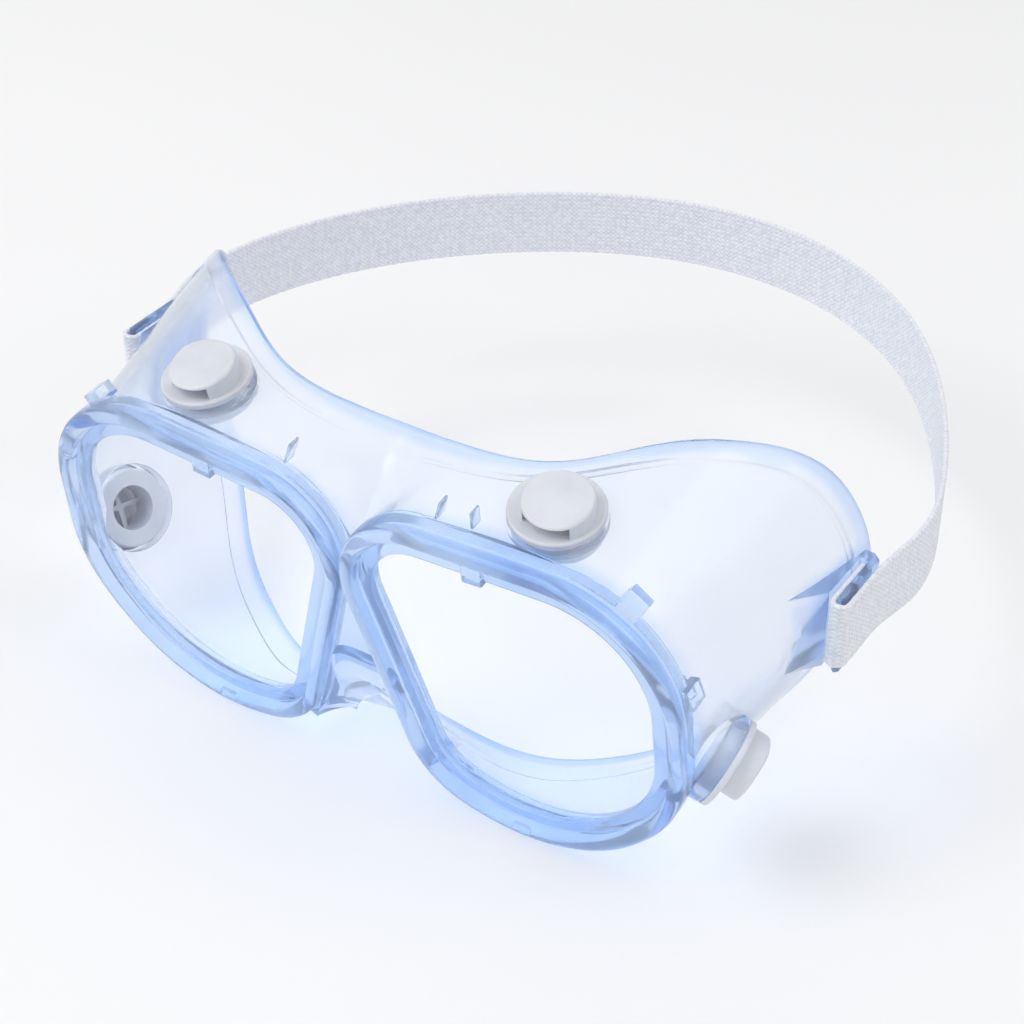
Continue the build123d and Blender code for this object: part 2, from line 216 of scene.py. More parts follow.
def smooth_step(x):
    """0 below 0, 1 above 1, smooth between."""
    x = np.clip(x, 0, 1)
    return x * x * (3 - 2 * x)


def rounded_outline(corners, step=2.5, turn=radians(3.5)):
    """Points along a closed outline with rounded corners, and their outward normals."""
    places = [np.array(corner, float) for corner, _ in corners]
    points, normals = [], []
    for i, (_, radius) in enumerate(corners):
        ahead = unit(places[(i + 1) % len(places)] - places[i])
        behind = unit(places[i] - places[i - 1])
        angle = atan2(behind[0] * ahead[1] - behind[1] * ahead[0], behind @ ahead)
        inward = np.array((-behind[1], behind[0]))
        centre = places[i] - behind * radius * tan(angle / 2) + inward * radius
        first = atan2(-inward[1], -inward[0])
        for a in np.linspace(first, first + angle, max(3, int(angle / turn))):
            normal = np.array((cos(a), sin(a)))
            if points:
                run = centre + normal * radius - points[-1]
                fill = int(hypot(*run) / step) if a == first else 0
                for k in range(1, fill):
                    points.append(points[-1] + run / fill)
                    normals.append(normals[-1])
            points.append(centre + normal * radius)
            normals.append(normal)
    run = points[0] - points[-1]
    fill = int(hypot(*run) / step)
    for k in range(1, fill):
        points.append(points[-1] + run / fill)
        normals.append(normals[-1])
    return np.array(points), np.array(normals)


# ---- meshes -------------------------------------------------------------------------
def new_object(name, points, faces):
    """Mesh object from points in millimetres about the bridge, with outward normals."""
    mesh = bpy.data.meshes.new(name)
    mesh.from_pydata(((np.asarray(points, float) + BRIDGE) * MM).tolist(), [], faces)
    work = bmesh.new()
    work.from_mesh(mesh)
    bmesh.ops.remove_doubles(work, verts=work.verts, dist=1e-7)
    bmesh.ops.recalc_face_normals(work, faces=work.faces)
    work.to_mesh(mesh)
    work.free()
    obj = bpy.data.objects.new(name, mesh)
    bpy.context.scene.collection.objects.link(obj)
    return obj


def loft(name, sections, closed):
    """Skin over closed sections of equally many points, as a loop or capped at both ends."""
    sections = np.asarray(sections, float)
    count, around = sections.shape[:2]
    faces = []
    for i in range(count if closed else count - 1):
        a, b = i * around, (i + 1) % count * around
        for j in range(around):
            k = (j + 1) % around
            faces.append((a + j, a + k, b + k, b + j))
    if not closed:
        faces.append(tuple(range(around))[::-1])
        faces.append(tuple(range((count - 1) * around, count * around)))
    return new_object(name, sections.reshape(-1, 3), faces)


def prism(name, outline, low, high, place):
    """Flat outline between two heights, put in its place by a function of (a, b, h)."""
    layers = [[place(a, b, h) for a, b in outline] for h in (low, high)]
    return loft(name, layers, closed=False)


def bevelled(obj, width, segments=3):
    """Rounds the edges of a small moulded detail."""
    work = bmesh.new()
    work.from_mesh(obj.data)
    sharp = [e for e in work.edges if len(e.link_faces) == 2 and e.calc_face_angle() > radians(40)]
    bmesh.ops.bevel(work, geom=sharp, offset=width * MM, segments=segments, profile=0.5,
                    affect="EDGES", clamp_overlap=True)
    work.to_mesh(obj.data)
    work.free()
    return obj


def combine(base, tool, operation, careful=False):
    """Joins or cuts base with tool, which is then removed. careful allows for crossing walls."""
    step = base.modifiers.new("step", "BOOLEAN")
    step.operation = operation
    step.solver = "EXACT"
    step.use_self = careful
    step.object = tool
    bpy.context.view_layer.update()
    graph = bpy.context.evaluated_depsgraph_get()
    mesh = bpy.data.meshes.new_from_object(base.evaluated_get(graph))
    base.modifiers.clear()
    work = bmesh.new()
    work.from_mesh(mesh)
    bmesh.ops.remove_doubles(work, verts=work.verts, dist=2e-6)
    bmesh.ops.dissolve_degenerate(work, edges=work.edges, dist=2e-6)
    work.to_mesh(mesh)
    work.free()
    old = base.data
    base.data = mesh
    bpy.data.meshes.remove(old)
    bpy.data.objects.remove(tool)
    return base


def shade(obj, angle=32.0):
    """Smooth shading, with edges sharper than an angle kept crisp."""
    obj.data.shade_smooth()
    obj.data.set_sharp_from_angle(angle=radians(angle))
    return obj


# ---- lens frame ---------------------------------------------------------------------
LENS_OUT = np.array((cos(LENS_WRAP), sin(LENS_WRAP), 0))
LENS_FRONT = np.array((sin(LENS_WRAP) * cos(LENS_TILT), -cos(LENS_WRAP) * cos(LENS_TILT),
                       -sin(LENS_TILT)))
LENS_UP = np.cross(LENS_FRONT, LENS_OUT)
LENS_MIDDLE = np.array((LENS_SPACING / 2, LENS_SET_BACK, 0))


def lens_place(side):
    """Function from lens coordinates (outwards, up, forwards) to places, for side 1 or -1."""
    def place(a, b, h):
        point = LENS_MIDDLE + LENS_OUT * a + LENS_UP * b + LENS_FRONT * h
        return point * (side, 1, 1)
    return place


def lean(z):
    """How far back the lens plane is at a height."""
    return -z * sin(LENS_TILT)


# ---- face piece ---------------------------------------------------------------------
def rim_profile():
    """Section of a rim: (outwards from the opening, forwards), with the lens groove."""
    half_groove = LENS_HALF + GROOVE_GAP
    deep = LENS_LAP + GROOVE_GAP
    profile = [(REAR_OPENING, -RIM_BACK + 0.3), (REAR_OPENING, -half_groove),
               (deep, -half_groove), (deep, half_groove), (0.0, half_groove), (0.05, 1.7),
               (0.3, 2.2), (0.8, 2.4), (1.8, 2.45), (2.7, 2.4), (3.0, 2.25), (3.2, 2.2),
               (3.36, 2.4), (3.48, 2.9), (3.7, 3.4)]
    for a in np.linspace(150, 5, 10):
        profile.append((5.25 + 1.65 * cos(radians(a)), 2.95 + 1.25 * sin(radians(a))))
    profile += [(6.95, 2.2), (7.0, 0.8), (6.95, -0.6), (6.8, -1.6), (6.4, -2.3), (5.9, -RIM_BACK),
                (REAR_OPENING + 0.3, -RIM_BACK)]
    return np.array(profile)


def rim_block(side, middle, width, length, turn, reach):
    """Small block with rounded edges, standing on a rim."""
    place = lens_place(side)
    turn = radians(turn)
    across = np.array((cos(turn), sin(turn)))
    along = np.array((-sin(turn), cos(turn)))
    outline = [tuple(np.array(middle) + across * (width / 2 * i) + along * (length / 2 * j))
               for i, j in ((-1, -1), (1, -1), (1, 1), (-1, 1))]
    return bevelled(prism("block", outline, *reach, place), min(BLOCK_ROUND, width * 0.2))


def rim(side):
    """Round bead, flat lip and groove round one lens."""
    place = lens_place(side)
    outline, normals = rounded_outline(LENS_CORNERS)
    sections = []
    for point, normal in zip(outline, normals):
        ring = []
        for out, front in rim_profile():
            a, b = point + normal * out
            b += RIM_LIFT * np.clip((out - RIM_STEP) / (RIM_WIDTH - RIM_STEP), 0, 1)
            ring.append(place(a, b, front))
        sections.append(ring)
    ring = loft("rim", sections, closed=True)
    combine(ring, rim_block(side, *RIM_NOTCH), "DIFFERENCE")
    for block in [CLIP_TAB, *RIM_PADS[side], *RIM_FINS[side]]:
        combine(ring, rim_block(side, *block), "UNION")
    return ring


def shell(name, curves, normals, lip, closed):
    """Wall of even thickness over curves that run from front to rear, with a round rear edge.

    Each curve is a dense row of points on the outside. lip raises a band along the edge."""
    sections = []
    round_radius = WALL / 2
    for curve, normal in zip(curves, normals):
        length = np.concatenate([[0], np.cumsum(np.linalg.norm(np.diff(curve, axis=0), axis=1))])
        end = length[-1] - round_radius
        body = np.linspace(0, max(end - LIP_WIDTH - LIP_STEP, end * 0.5), 16)
        edge = end - np.array([LIP_WIDTH, LIP_WIDTH - LIP_STEP / 2, LIP_WIDTH - LIP_STEP,
                               LIP_WIDTH / 2, EDGE_FADE, 0])
        stations = np.concatenate([body, np.maximum(edge, body[-1] + np.arange(1, 7) * 0.05)])

        def at(values, places):
            return np.stack([np.interp(places, length, values[:, c]) for c in range(3)], axis=1)

        base, out = at(curve, stations), unit(at(normal, stations))
        raise_by = lip * smooth_step((stations - end + LIP_WIDTH) / LIP_STEP)[:, None]
        outer = base + out * raise_by
        inner = base - out * (WALL + raise_by * 0.4)
        last = (outer[-1] + inner[-1]) / 2
        rear = unit(base[-1] - base[-2])
        half = np.linalg.norm(outer[-1] - inner[-1]) / 2
        cap = [last + half * (cos(a) * out[-1] + sin(a) * rear)
               for a in np.linspace(0, pi, 9)[1:-1]]
        sections.append(np.concatenate([outer, cap, inner[::-1]]))
    return loft(name, sections, closed)


def grid_normals(grid, wrap, outwards):
    """Normals of a grid of points, pointing the same way as outwards where it is given."""
    if wrap:
        along = np.roll(grid, -1, 0) - np.roll(grid, 1, 0)
    else:
        along = np.gradient(grid, axis=0)
    normal = unit(np.cross(along, np.gradient(grid, axis=1)))
    flip = np.sign(np.sum(normal * outwards, axis=-1, keepdims=True))
    return normal * np.where(flip == 0, 1, flip)


def skirt_grid():
    """Dense curves on the outside of the skirt, all round, each from the front to y = 66."""
    count = SKIRT_POINTS
    at = np.linspace(0, len(SKIRT_SECTIONS[SKIRT_START]) - 1, count)
    controls = []
    for back, half in SKIRT_SECTIONS.items():
        section = spline(half, at)
        depth = back + lean(section[:, 1]) if back == SKIRT_START else np.full(count, back)
        controls.append(np.stack([section[:, 0], depth, section[:, 1]], axis=1))
    controls = np.array(controls)
    half = np.array([spline(controls[:, i], np.linspace(0, 3, SKIRT_ROWS))
                     for i in range(count)])
    other = half[1:-1][::-1] * (-1, 1, 1)
    return np.concatenate([half, other])


def cut_at(grid, normals, profile):
    """Ends each curve of a grid where it reaches a rear edge, and resamples it."""
    curves, directions = [], []
    for curve, normal in zip(grid, normals):
        past = curve[:, 1] - profile_depth(profile, curve[:, 0])
        k = max(int(np.argmax(past > 0)), 1) if (past > 0).any() else len(curve) - 1
        share = np.clip(past[k - 1] / (past[k - 1] - past[k]), 0, 1) if past[k] > 0 else 1
        last = k - 1 + share
        places = np.linspace(0, last, 120)
        steps = np.arange(len(curve))
        curves.append(np.stack([np.interp(places, steps, curve[:, c]) for c in range(3)], axis=1))
        directions.append(np.stack([np.interp(places, steps, normal[:, c]) for c in range(3)],
                                   axis=1))
    return curves, directions


def arch_curve(back, grow):
    """Outline over the nose at a distance behind the lenses: from left foot to right foot."""
    depths, widths, tops = (np.array(values) for values in zip(*NOSE_SECTIONS))
    back = max(back, 0)
    width = np.polyval(np.polyfit(depths, widths, 2), back) + grow
    top = np.polyval(np.polyfit(depths, tops, 2), back) + grow
    shoulder = width * ARCH_SHOULDER
    corners = [(-width, NOSE_LEG), (-shoulder, top), (shoulder, top), (width, NOSE_LEG)]
    radius = width * ARCH_ROUND
    points = [corners[0]]
    for i in (1, 2):
        corner = np.array(corners[i])
        behind = unit(corner - corners[i - 1])
        ahead = unit(np.array(corners[i + 1]) - corner)
        angle = atan2(behind[1] * ahead[0] - behind[0] * ahead[1], behind @ ahead)
        inward = np.array((behind[1], -behind[0]))
        centre = corner - behind * radius * tan(angle / 2) + inward * radius
        first = atan2(-inward[1], -inward[0])
        for a in np.linspace(first, first - angle, 10):
            points.append(tuple(centre + radius * np.array((cos(a), sin(a)))))
    points.append(corners[-1])
    return np.array(points)


def arch_solid():
    """Everything under the nose flap."""
    sections = []
    for back in np.linspace(-15, 40, 56):
        outline = arch_curve(back, 0.0)
        sections.append([(x, back, z) for x, z in outline])
    return loft("arch", sections, closed=False)


def nose_flap():
    """Wall over the nose, from the web between the rims back to its own rear edge."""
    depths = np.linspace(WEB_FRONT, FLAP_BACK, 90)
    rows = []
    for back in depths:
        outline = arch_curve(back, WALL)
        length = np.concatenate([[0], np.cumsum(np.hypot(*np.diff(outline, axis=0).T))])
        foot = np.interp(back, (WEB_FRONT, FLAP_FOOT_BACK), FLAP_FOOT)
        first = np.interp(foot, outline[:2, 1], length[:2])
        last = length[-1] - first
        places = np.linspace(first, last, FLAP_POINTS)
        x = np.interp(places, length, outline[:, 0])
        z = np.interp(places, length, outline[:, 1])
        rows.append(np.stack([x, np.full(FLAP_POINTS, back), z], axis=1))
    grid = np.array(rows).transpose(1, 0, 2)
    outwards = grid * (1, 0, 0) + (0, 0, 30)
    curves, normals = cut_at(grid, grid_normals(grid, False, outwards), NOSE_PROFILE)
    return shell("flap", curves, normals, FLAP_RAISE, closed=False)


def web():
    """Front wall between the two rims, leaning with the lenses."""
    top = spline(SKIRT_SECTIONS[SKIRT_START], np.linspace(0, WEB_TOP_END, 24))
    outline, normals = rounded_outline(LENS_CORNERS)
    inner = [LENS_SPACING / 2 + (p + n * WEB_OVERLAP)[0] for p, n in zip(outline, normals)]
    height = [(p + n * WEB_OVERLAP)[1] for p, n in zip(outline, normals)]
    nasal = [(x, z) for x, z, n in zip(inner, height, normals)
             if WEB_TURN[0] < degrees(atan2(n[1], n[0])) % 360 < WEB_TURN[1]]
    half = [tuple(p) for p in top] + nasal + [(0.0, nasal[-1][1])]
    other = [(-x, z) for x, z in half[1:-1]][::-1]

    def place(x, z, depth):
        return np.array((x, depth * cos(LENS_TILT) + lean(z), z * cos(LENS_TILT)))

    solid = prism("web", half + other, WEB_FRONT, WEB_FRONT + WALL, place)
    work = bmesh.new()
    work.from_mesh(solid.data)
    bmesh.ops.triangulate(work, faces=work.faces)
    work.to_mesh(solid.data)
    work.free()
    return solid


def box_between(name, low, high):
    """Plain block, used only to cut."""
    outline = [(low[0], low[1]), (high[0], low[1]), (high[0], high[1]), (low[0], high[1])]
    return prism(name, outline, low[2], high[2], lambda a, b, h: np.array((a, b, h)))


def lug(side, cavity):
    """Side lug: a block on the skirt and a plate hooked forward, with a slot in it."""
    def place(a, b, h):
        return np.array((a * side, b, h))

    solid = bevelled(prism("lug", LUG_PLAN, LUG_BOTTOM, LUG_TOP, place), LUG_ROUND)
    low, high = (np.array(corner) * (side, 1, 1) for corner in SLOT_BOX)
    combine(solid, box_between("slot", np.minimum(low, high), np.maximum(low, high)), "DIFFERENCE")
    tool = cavity.copy()
    tool.data = cavity.data.copy()
    bpy.context.scene.collection.objects.link(tool)
    return combine(solid, tool, "DIFFERENCE")


def vent_frame(name):
    """Function from a ventilator's own (a, b, height) to places."""
    joint = JOINTS[f"vent_{name}_turn"]
    middle = np.array(joint["pos_m"]) / MM - BRIDGE
    axis = unit(np.array(joint["axis"], float))
    across = unit(np.cross(axis, (0, 1, 0)))
    along = np.cross(axis, across)
    return lambda a, b, h: middle + across * a + along * b + axis * h


def lathe(name, profile, place, around=96):
    """Solid of revolution from (radius, height) pairs, in its place."""
    sections = []
    for turn in np.linspace(0, 2 * pi, around, endpoint=False):
        sections.append([place(r * cos(turn), r * sin(turn), h) for r, h in profile])
    points = np.array(sections)
    count, rows = points.shape[:2]
    faces = []
    for i in range(count):
        a, b = i * rows, (i + 1) % count * rows
        for j in range(rows - 1):
            faces.append((a + j, a + j + 1, b + j + 1, b + j))
    faces.append(tuple(i * rows for i in range(count)))
    faces.append(tuple(i * rows + rows - 1 for i in range(count))[::-1])
    return new_object(name, points.reshape(-1, 3), faces)


def cut_disc(place, radius, low, high):
    """Round block, used only to cut."""
    return lathe("cut", [(radius, low), (radius, high)], place)


def face_piece():
    """The soft moulding, as one closed mesh."""
    grid = skirt_grid()
    normals = grid_normals(grid, True, (grid - FACE_MIDDLE) * (1, 0, 1))
    curves, directions = cut_at(grid, normals, FACE_PROFILE)
    body = shell("face_moulding", curves, directions, LIP_RAISE, closed=True)
    inside = (grid - normals * WALL / 2)[:, ::8].transpose(1, 0, 2)
    cavity = loft("cavity", inside, closed=False)
    combine(body, arch_solid(), "DIFFERENCE")
    combine(body, nose_flap(), "UNION")
    for side in (1, -1):
        combine(body, lug(side, cavity), "UNION")
    bpy.data.objects.remove(cavity)
    for kind, depth in SEAT_DEPTH.items():
        for side in ("left", "right"):
            place = vent_frame(f"{kind}_{side}")
            boss = [(SEAT_RADIUS + 0.2, -depth), (SEAT_RADIUS, -1.2), (SEAT_RADIUS - 0.1, -0.5),
                    (SEAT_RADIUS - 0.4, -SEAT_GAP)]
            combine(body, lathe("boss", boss, place), "UNION")
            combine(body, cut_disc(place, SEAT_RADIUS + 0.02, -SEAT_GAP, SEAT_CLEAR), "DIFFERENCE")
            combine(body, cut_disc(place, RECESS_RADIUS, -DEEP, -RECESS_START), "DIFFERENCE")
            combine(body, cut_disc(place, NECK_HOLE, -DEEP, 1.5), "DIFFERENCE")
    front = web()
    combine(front, arch_solid(), "DIFFERENCE")
    combine(body, front, "UNION", careful=True)
    for side, word in ((1, "left"), (-1, "right")):
        ring = rim(side)
        place = vent_frame(f"side_{word}")
        combine(ring, cut_disc(place, RECESS_RADIUS, -DEEP, -RECESS_START), "DIFFERENCE")
        combine(body, ring, "UNION", careful=True)
    mark_edge(body)
    return shade(body)


def mark_edge(body):
    """Marks the skirt's rounded rear edge and the lugs, for the deeper blue there."""
    points = np.zeros(len(body.data.vertices) * 3)
    body.data.vertices.foreach_get("co", points)
    x, y, z = (points.reshape(-1, 3) / MM - BRIDGE).T
    share = smooth_step((y - profile_depth(FACE_PROFILE, x) + EDGE_BAND) / EDGE_FADE)
    on_lug = (abs(x) > LUG_TINT_X) & (y > LUG_TINT_Y) & (abs(z - BAND_MIDDLE_Z) < LUG_TINT_HALF)
    share = np.maximum(share, on_lug * LUG_TINT)
    layer = body.data.attributes.new("edge", "FLOAT", "POINT")
    layer.data.foreach_set("value", share.astype(np.float32))


# ---- lenses -------------------------------------------------------------------------
def lens(side):
    """Flat lens with small chamfers; its edge sits in the rim's groove."""
    place = lens_place(side)
    outline, normals = rounded_outline(LENS_CORNERS)
    inner, flat = LENS_LAP - LENS_CHAMFER, LENS_HALF - LENS_CHAMFER
    profile = [(inner, -LENS_HALF), (LENS_LAP, -flat), (LENS_LAP, flat), (inner, LENS_HALF)]
    layers = [[place(*(p + n * out), front) for p, n in zip(outline, normals)]
              for out, front in profile]
    return shade(loft("lens_" + ("left" if side > 0 else "right") + "_clear", layers, False), 20)


# ---- headband -----------------------------------------------------------------------
def band_path():
    """Middle line of the elastic, from its left tucked end to its right one, and normals."""
    middle = (BAND_SIDE_X + BAND_TUCK_X) / 2
    bend = (BAND_SIDE_X - BAND_TUCK_X) / 2
    left = [(BAND_TUCK_X, y) for y in np.linspace(BAND_TUCK_END, BAND_FRONT_Y, 8)]
    left += [(middle - bend * cos(a), BAND_FRONT_Y - bend * sin(a))
             for a in np.linspace(0, pi, 14)[1:]]
    route = spline(BAND_ROUTE, np.linspace(0, len(BAND_ROUTE) - 1, 900))
    right = [(-x, y) for x, y in left[::-1]]
    rough = np.array(left + [tuple(p) for p in route] + right)
    length = np.concatenate([[0], np.cumsum(np.hypot(*np.diff(rough, axis=0).T))])
    places = np.arange(0, length[-1], BAND_STEP)
    path = np.stack([np.interp(places, length, rough[:, c]) for c in range(2)], axis=1)
    ahead = unit(np.gradient(path, axis=0))
    return places, path, np.stack([ahead[:, 1], -ahead[:, 0]], axis=1)


def headband():
    """Woven elastic with lengthwise ribs and a fine scalloped edge."""
    places, path, normals = band_path()
    around = []
    half = BAND_WIDTH / 2
    face, side, edge = BAND_THICK / 2 - RIB_DEPTH, BAND_THICK / 2 - BAND_EDGE, half - BAND_EDGE_IN
    across = np.linspace(-half + BAND_BORDER, half - BAND_BORDER, BAND_RIBS * 4 + 1)
    rib = RIB_DEPTH * np.cos(2 * pi * BAND_RIBS * (across + half) / BAND_WIDTH)
    around += [(z, face - r) for z, r in zip(across, rib)]
    around += [(edge, side), (half, 0.0), (edge, -side)]
    around += [(z, -face + r) for z, r in zip(across[::-1], rib[::-1])]
    around += [(-edge, -side), (-half, 0.0), (-edge, side)]
    around = np.array(around)
    scallop = SCALLOP * np.sin(2 * pi * places / SCALLOP_PITCH)
    sections = []
    for (x, y), normal, wave in zip(path, normals, scallop):
        width = 1 + wave / half
        raised = BAND_DRAWN_IN * smooth_step((BAND_FREE_Y - y) / BAND_FREE_RUN)
        sections.append([(x + normal[0] * t, y + normal[1] * t,
                          BAND_MIDDLE_Z + z * width + raised * (half - z) / (2 * half))
                         for z, t in around])
    obj = loft("headband_elastic", sections, closed=False)
    layer = obj.data.uv_layers.new(name="weave")
    uv = np.zeros((len(obj.data.loops), 2))
    index = np.array([loop.vertex_index for loop in obj.data.loops])
    uv[:, 0] = places[np.minimum(index // len(around), len(places) - 1)] * MM
    uv[:, 1] = around[index % len(around), 0] * MM
    layer.data.foreach_set("uv", uv.ravel())
    return shade(obj, 60)


# ---- materials ----------------------------------------------------------------------
class Nodes:
    """Short ways to add nodes to one material."""

    def __init__(self, name):
        self.material = bpy.data.materials.new(name)
        self.material.use_nodes = True
        self.tree = self.material.node_tree
        self.shader = self.tree.nodes["Principled BSDF"]
        self.output = self.tree.nodes["Material Output"]

    def add(self, kind, **inputs):
        node = self.tree.nodes.new(kind)
        for name, value in inputs.items():
            node.inputs[name.replace("_", " ")].default_value = value
        return node

    def link(self, source, target):
        self.tree.links.new(source, target)

    def set(self, **values):
        for name, value in values.items():
            self.shader.inputs[name.replace("_", " ")].default_value = value

    def place(self):
        return self.add("ShaderNodeTexCoord").outputs["Object"]

    def noise(self, scale, detail=2.0, roughness=0.5):
        node = self.add("ShaderNodeTexNoise", Scale=scale, Detail=detail, Roughness=roughness)
        self.link(self.place(), node.inputs["Vector"])
        return node.outputs["Fac"]

    def ahead(self, direction, middle):
        """How far a place is from a middle, along a direction, in metres."""
        node = self.add("ShaderNodeVectorMath")
        node.operation = "DOT_PRODUCT"
        node.inputs[1].default_value = direction
        self.link(self.place(), node.inputs[0])
        less = self.add("ShaderNodeMath")
        less.operation = "SUBTRACT"
        less.inputs[1].default_value = float(np.dot(direction, middle)) * MM
        self.link(node.outputs["Value"], less.inputs[0])
        return less.outputs[0]

    def blend(self, share, first, second):
        """One colour where share is 0, another where it is 1."""
        node = self.add("ShaderNodeMix")
        node.data_type = "RGBA"
        colours = [socket for socket in node.inputs if socket.type == "RGBA"]
        self.link(share, node.inputs[0])
        self.link(first, colours[0])
        self.link(second, colours[1])
        return [socket for socket in node.outputs if socket.type == "RGBA"][0]

    def spread(self, value, low, high, start=0.3, end=0.7):
        node = self.add("ShaderNodeMapRange")
        node.inputs["From Min"].default_value = start
        node.inputs["From Max"].default_value = end
        node.inputs["To Min"].default_value = low
        node.inputs["To Max"].default_value = high
        self.link(value, node.inputs["Value"])
        return node.outputs["Result"]

    def tint(self, value, low, high):
        node = self.add("ShaderNodeValToRGB")
        node.color_ramp.elements[0].position = 0.3
        node.color_ramp.elements[1].position = 0.7
        node.color_ramp.elements[0].color = (*low, 1)
        node.color_ramp.elements[1].color = (*high, 1)
        self.link(value, node.inputs["Fac"])
        return node.outputs["Color"]

    def bump(self, value, height, strength=1.0):
        node = self.add("ShaderNodeBump", Strength=strength, Distance=height * MM)
        self.link(value, node.inputs["Height"])
        self.link(node.outputs["Normal"], self.shader.inputs["Normal"])
        return node


def see_through(m, colour):
    """Lets light through to what is behind a clear piece, so that its shadow stays pale."""
    path = m.add("ShaderNodeLightPath")
    clear = m.add("ShaderNodeBsdfTransparent", Color=(*colour, 1))
    mix = m.add("ShaderNodeMixShader")
    m.link(path.outputs["Is Shadow Ray"], mix.inputs[0])
    m.link(m.shader.outputs["BSDF"], mix.inputs[1])
    m.link(clear.outputs["BSDF"], mix.inputs[2])
    m.link(mix.outputs["Shader"], m.output.inputs["Surface"])


def vinyl():
    """Soft clear vinyl: pale blue where thin, deeper blue where light runs along it."""
    m = Nodes("soft_clear_vinyl")
    m.set(Transmission_Weight=0.86, IOR=1.28, Specular_IOR_Level=0.6)
    wall = m.tint(m.noise(70, 3), (0.915, 0.945, 1.0), (0.94, 0.96, 1.0))
    thick = m.tint(m.noise(45, 3), (0.57, 0.73, 0.985), (0.72, 0.84, 1.0))
    front = m.ahead(LENS_FRONT, BRIDGE + LENS_MIDDLE)
    moulding = m.blend(m.spread(front, 0.0, 1.0, -5.5 * MM, -1.5 * MM), wall, thick)
    rear = m.tint(m.noise(60, 3), (0.50, 0.68, 0.98), (0.64, 0.79, 1.0))
    edge = m.add("ShaderNodeAttribute")
    edge.attribute_name = "edge"
    m.link(m.blend(edge.outputs["Fac"], moulding, rear), m.shader.inputs["Base Color"])
    m.link(m.spread(m.noise(90, 3), 0.10, 0.17), m.shader.inputs["Roughness"])
    m.bump(m.noise(55, 2), 0.2, 0.3)
    absorb = m.add("ShaderNodeVolumeAbsorption", Color=(0.25, 0.55, 1.0, 1), Density=24.0)
    m.link(absorb.outputs["Volume"], m.output.inputs["Volume"])
    see_through(m, (0.94, 0.965, 1.0))
    return m.material


def polycarbonate():
    """Clear polished lens with a faint cool tint and very fine haze."""
    m = Nodes("lens_polycarbonate")
    m.set(Base_Color=(0.985, 0.99, 1, 1), Transmission_Weight=1.0, IOR=1.12)
    m.link(m.spread(m.noise(240, 4), 0.0, 0.02), m.shader.inputs["Roughness"])
    absorb = m.add("ShaderNodeVolumeAbsorption", Color=(0.6, 0.78, 1.0, 1), Density=9.0)
    m.link(absorb.outputs["Volume"], m.output.inputs["Volume"])
    see_through(m, (0.975, 0.985, 1.0))
    return m.material


def vent_plastic():
    """Light grey moulded plastic, satin, with faint flow marks."""
    m = Nodes("vent_plastic")
    m.set(IOR=1.5, Subsurface_Weight=0.15, Subsurface_Scale=0.002)
    m.link(m.tint(m.noise(120, 3), (0.66, 0.685, 0.745), (0.74, 0.765, 0.82)),
           m.shader.inputs["Base Color"])
    m.link(m.spread(m.noise(400, 2), 0.38, 0.5), m.shader.inputs["Roughness"])
    m.bump(m.noise(1500, 2), 0.02, 0.5)
    return m.material


def elastic():
    """Woven elastic: rows of stitches across the ribs, off-white with a cool tint."""
    m = Nodes("elastic_webbing")
    m.set(Roughness=0.85, Sheen_Weight=0.25, Sheen_Roughness=0.5, Specular_IOR_Level=0.25)
    source = m.add("ShaderNodeUVMap")
    source.uv_map = "weave"
    split = m.add("ShaderNodeSeparateXYZ")
    m.link(source.outputs["UV"], split.inputs["Vector"])

    def wave(output, period_mm, shift=0.0):
        scaled = m.add("ShaderNodeMath")
        scaled.operation = "MULTIPLY_ADD"
        scaled.inputs[1].default_value = 2 * pi / (period_mm * MM)
        scaled.inputs[2].default_value = shift
        m.link(output, scaled.inputs[0])
        node = m.add("ShaderNodeMath")
        node.operation = "SINE"
        m.link(scaled.outputs[0], node.inputs[0])
        return node.outputs[0]

    weave = m.add("ShaderNodeMath")
    weave.operation = "MULTIPLY"
    m.link(wave(split.outputs["X"], 1.2), weave.inputs[0])
    m.link(wave(split.outputs["Y"], BAND_WIDTH / BAND_RIBS), weave.inputs[1])
    fuzz = m.noise(900, 3)
    mixed = m.add("ShaderNodeMath")
    mixed.operation = "MULTIPLY_ADD"
    mixed.inputs[1].default_value = 0.22
    m.link(weave.outputs[0], mixed.inputs[0])
    m.link(fuzz, mixed.inputs[2])
    m.link(m.tint(mixed.outputs[0], (0.73, 0.75, 0.82), (0.89, 0.90, 0.94)),
           m.shader.inputs["Base Color"])
    m.bump(mixed.outputs[0], 0.25, 0.9)
    return m.material


# ---- stage --------------------------------------------------------------------------
def floor():
    """Plain pale floor, fading to white."""
    size = 6000.0
    low = -BRIDGE[2] - 0.05
    points = [(-size, -size, low), (size, -size, low), (size, size, low), (-size, size, low)]
    obj = new_object("floor", points, [(0, 1, 2, 3)])
    m = Nodes("floor_paint")
    m.set(Roughness=0.9, Specular_IOR_Level=0.1)
    m.link(m.tint(m.noise(3, 2), (0.93, 0.93, 0.935), (0.95, 0.95, 0.955)),
           m.shader.inputs["Base Color"])
    obj.data.materials.append(m.material)


def area_light(name, place, towards, size, power):
    """Large soft light."""
    data = bpy.data.lights.new(name, "AREA")
    data.shape = "SQUARE"
    data.size = size
    data.energy = power
    obj = bpy.data.objects.new(name, data)
    obj.location = place
    obj.rotation_euler = (Vector(towards) - Vector(place)).to_track_quat("-Z", "Y").to_euler()
    bpy.context.scene.collection.objects.link(obj)


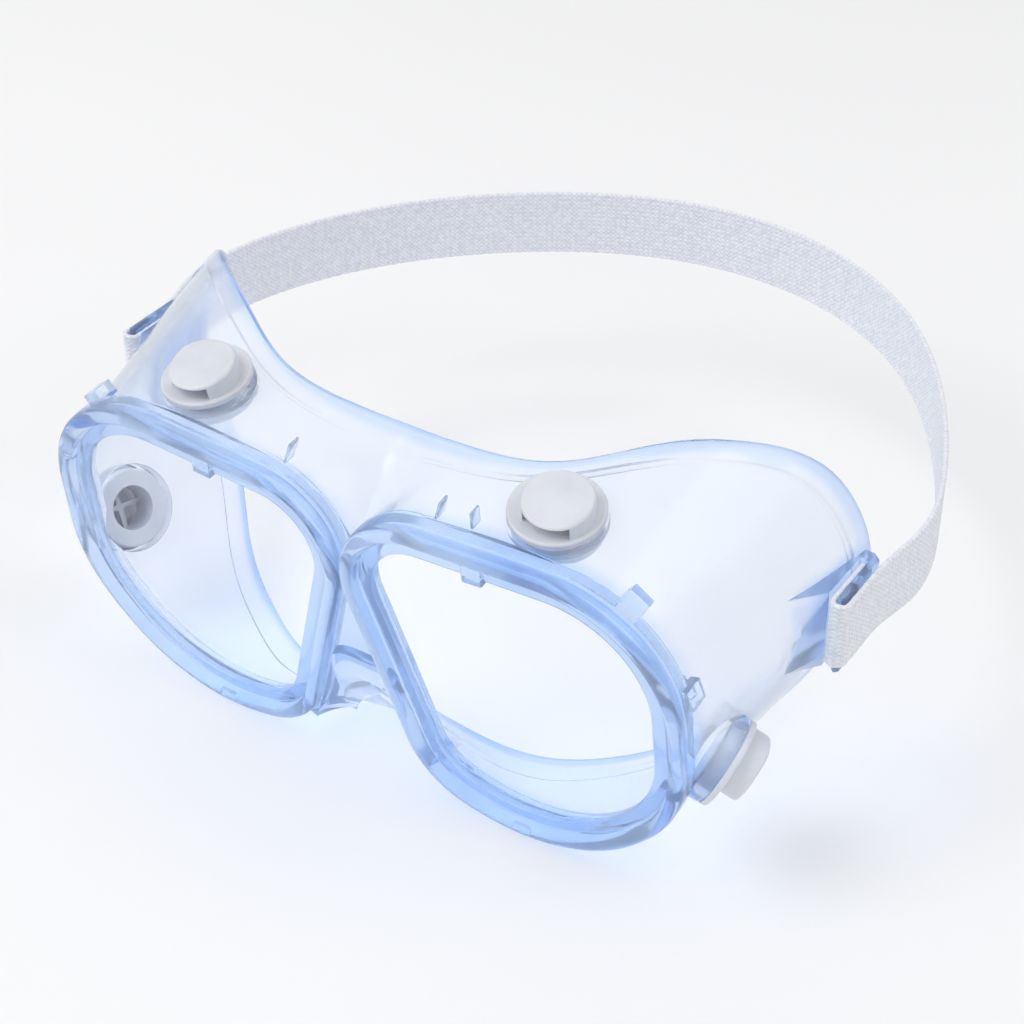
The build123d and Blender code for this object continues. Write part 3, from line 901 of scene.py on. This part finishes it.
def studio():
    """White surroundings, a little darker near the horizon, and two soft lights."""
    world = bpy.data.worlds.new("studio")
    bpy.context.scene.world = world
    world.use_nodes = True
    nodes, links = world.node_tree.nodes, world.node_tree.links
    background = nodes["Background"]
    coords = nodes.new("ShaderNodeTexCoord")
    split = nodes.new("ShaderNodeSeparateXYZ")
    ramp = nodes.new("ShaderNodeValToRGB")
    ramp.color_ramp.elements[0].position = 0.0
    ramp.color_ramp.elements[0].color = (0.72, 0.75, 0.80, 1)
    ramp.color_ramp.elements[1].position = 0.6
    ramp.color_ramp.elements[1].color = (1.0, 1.0, 1.0, 1)
    links.new(coords.outputs["Generated"], split.inputs["Vector"])
    links.new(split.outputs["Z"], ramp.inputs["Fac"])
    links.new(ramp.outputs["Color"], background.inputs["Color"])
    background.inputs["Strength"].default_value = 0.66
    area_light("key", (-0.6, -0.7, 1.2), (0, 0, 0.03), 0.9, 8)
    area_light("fill", (0.9, 0.2, 1.0), (0, 0, 0.03), 0.8, 3)


def camera():
    """Camera in front, above and to the wearer's left, looking down at the goggles."""
    data = bpy.data.cameras.new("camera")
    data.sensor_width = 36.0
    data.lens = CAMERA_LENS
    data.clip_start = 0.01
    obj = bpy.data.objects.new("camera", data)
    obj.location = (BRIDGE + CAMERA_PLACE) * MM
    obj.rotation_euler = (radians(90 - CAMERA_ELEVATION), 0, radians(CAMERA_AZIMUTH))
    bpy.context.scene.collection.objects.link(obj)
    bpy.context.scene.camera = obj


camera()
studio()
floor()
bpy.context.scene.view_settings.view_transform = "Standard"

face = face_piece()
face.data.materials.clear()
face.data.materials.append(vinyl())
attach(face, "goggle_body")
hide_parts("face_piece")

clear = polycarbonate()
for side, name in ((1, "lens_left"), (-1, "lens_right")):
    piece = lens(side)
    piece.data.materials.append(clear)
    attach(piece, "goggle_body")
    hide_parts(name)

band = headband()
band.data.materials.append(elastic())
bend_from, bend_to = ((BRIDGE + (0, PIVOT_Y + reach, BAND_MIDDLE_Z)) * MM
                      for reach in (-BAND_BEND, BAND_BEND))
tuple(bend_from)
tuple(bend_to)
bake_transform(band)
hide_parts("strap_band", "strap_end_left", "strap_end_right")

plastic = vent_plastic()
for name, node in frame["nodes"].items():
    if name.startswith("vent_"):
        node.data.materials.clear()
        node.data.materials.append(plastic)
